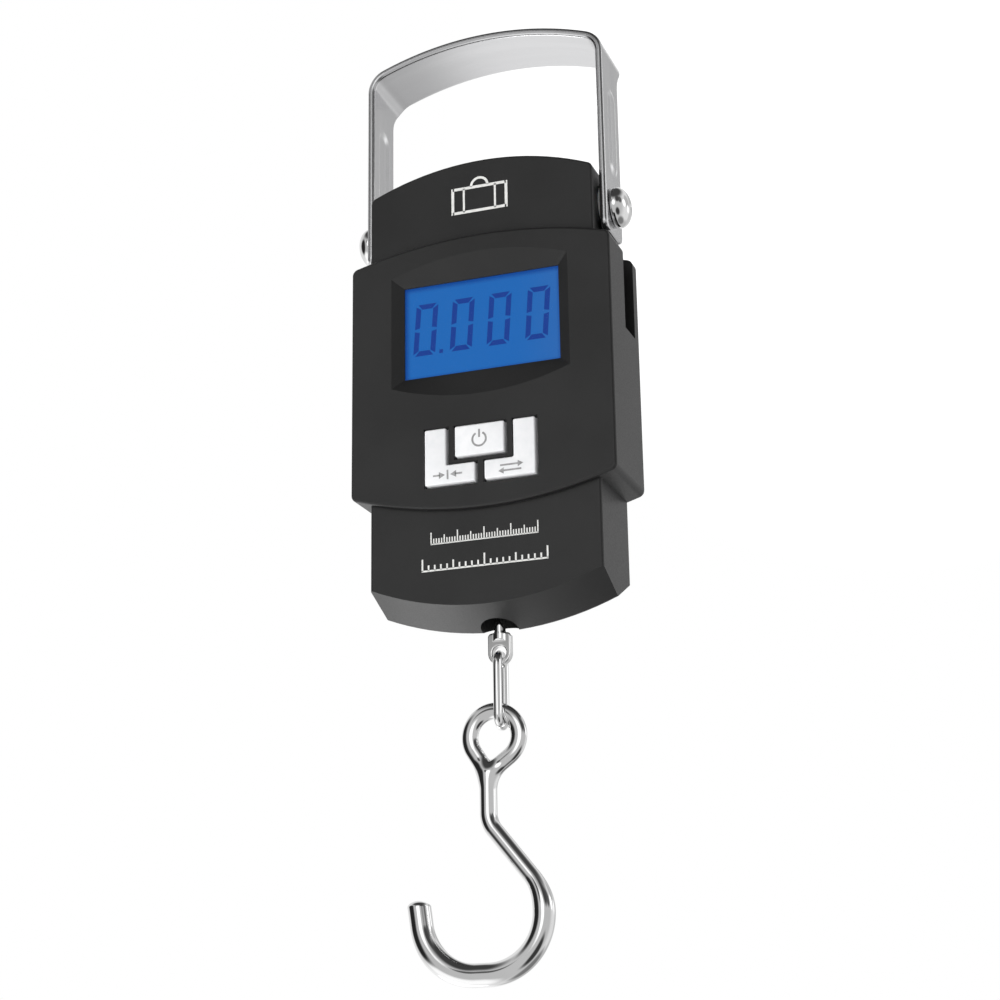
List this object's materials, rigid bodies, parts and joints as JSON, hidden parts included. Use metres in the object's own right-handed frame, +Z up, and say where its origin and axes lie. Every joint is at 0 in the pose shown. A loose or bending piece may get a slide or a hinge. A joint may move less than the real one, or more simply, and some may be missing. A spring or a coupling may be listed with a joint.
{
  "type": "digital luggage scale",
  "caption": "Handheld hanging scale: arched steel handle pivots on a display housing with press keys, and a swivelling stem, link and hook hang below to carry a bag.",
  "frame": {"origin": "grip point: the inner apex of the handle's arch, on the load line", "axes": "+X across the display to the right, -Y out of the display, +Y towards the back, +Z up along the load line, from the hook to the handle"},
  "size_m": [0.0737, 0.0253, 0.2438],
  "materials": {
    "handle_steel": "satin chromed steel strip",
    "housing_black": "fine satin texture, moulded black plastic",
    "zinc_steel": "zinc-plated steel",
    "window_clear": "clear moulded window",
    "lcd_blue": "blue backlit display",
    "diffuser_white": "white light guide",
    "board_green": "solder-masked circuit board",
    "chip_epoxy": "black epoxy",
    "switch_metal": "small pressed-metal switches",
    "key_silver": "silver-white painted keys",
    "washer_nylon": "nylon",
    "cell_aluminium": "milled aluminium",
    "gauge_film": "amber polyimide film",
    "hook_chrome": "polished chrome",
    "battery_wrap": "plain printed can",
    "cradle_plastic": "moulded black plastic",
    "contact_nickel": "nickel-plated spring steel",
    "lead_white": "white insulated wire",
    "lead_red": "red insulated wire",
    "print_light": "pale printed marks on the housing",
    "print_grey": "grey printed symbols on the keys",
    "display_ink": "dark segments of the display's digits"
  },
  "bodies": {
    "handle": {"handle": "handle_steel"},
    "housing": {"front_cover": "housing_black", "rear_cover": "housing_black", "housing_screws": "zinc_steel", "display_window": "window_clear", "lcd_panel": "lcd_blue", "backlight": "diffuser_white", "circuit_board": "board_green", "controller_chip": "chip_epoxy", "tact_switches": "switch_metal", "pivot_rivets": "hook_chrome", "pivot_washers": "washer_nylon", "load_frame": "zinc_steel", "load_cell": "cell_aluminium", "strain_gauges": "gauge_film", "load_cell_screws": "zinc_steel", "thrust_washer": "zinc_steel", "battery_right": "battery_wrap", "battery_left": "battery_wrap", "battery_cradle": "cradle_plastic", "battery_contacts": "contact_nickel", "contact_springs": "contact_nickel", "gauge_leads": "lead_white", "battery_leads": "lead_red"},
    "door": {"battery_door": "housing_black"},
    "power_key": {"power_button": "key_silver"},
    "tare_key": {"tare_button": "key_silver"},
    "unit_key": {"unit_button": "key_silver"},
    "stem": {"swivel_stem": "hook_chrome", "stem_nut": "zinc_steel"},
    "link": {"link": "hook_chrome"},
    "hook": {"hook": "hook_chrome"}
  },
  "joints": [
    {"name": "handle_pivot", "type": "hinge", "parent": "handle", "child": "housing", "pos_m": [0, 0, -0.0511], "axis": [1, 0, 0], "range_deg": [-100, 100]},
    {"name": "door_pull", "type": "slide", "parent": "housing", "child": "door", "axis": [0, 1, 0], "range_m": [0, 0.012]},
    {"name": "power_press", "type": "slide", "parent": "housing", "child": "power_key", "axis": [0, 1, 0], "range_m": [0, 0.0005], "stiffness_N_per_m": 1200, "springref_m": -0.0004},
    {"name": "tare_press", "type": "slide", "parent": "housing", "child": "tare_key", "axis": [0, 1, 0], "range_m": [0, 0.0005], "stiffness_N_per_m": 1200, "springref_m": -0.0004},
    {"name": "unit_press", "type": "slide", "parent": "housing", "child": "unit_key", "axis": [0, 1, 0], "range_m": [0, 0.0005], "stiffness_N_per_m": 1200, "springref_m": -0.0004},
    {"name": "stem_swivel", "type": "hinge", "parent": "housing", "child": "stem", "pos_m": [0, 0, -0.0845], "axis": [0, 0, 1], "continuous": true},
    {"name": "link_swing", "type": "hinge", "parent": "stem", "child": "link", "pos_m": [0, 0, -0.1632], "axis": [0, 1, 0], "range_deg": [-45, 45]},
    {"name": "hook_swing", "type": "hinge", "parent": "link", "child": "hook", "pos_m": [0, 0, -0.181], "axis": [0, 1, 0], "range_deg": [-60, 60]}
  ]
}
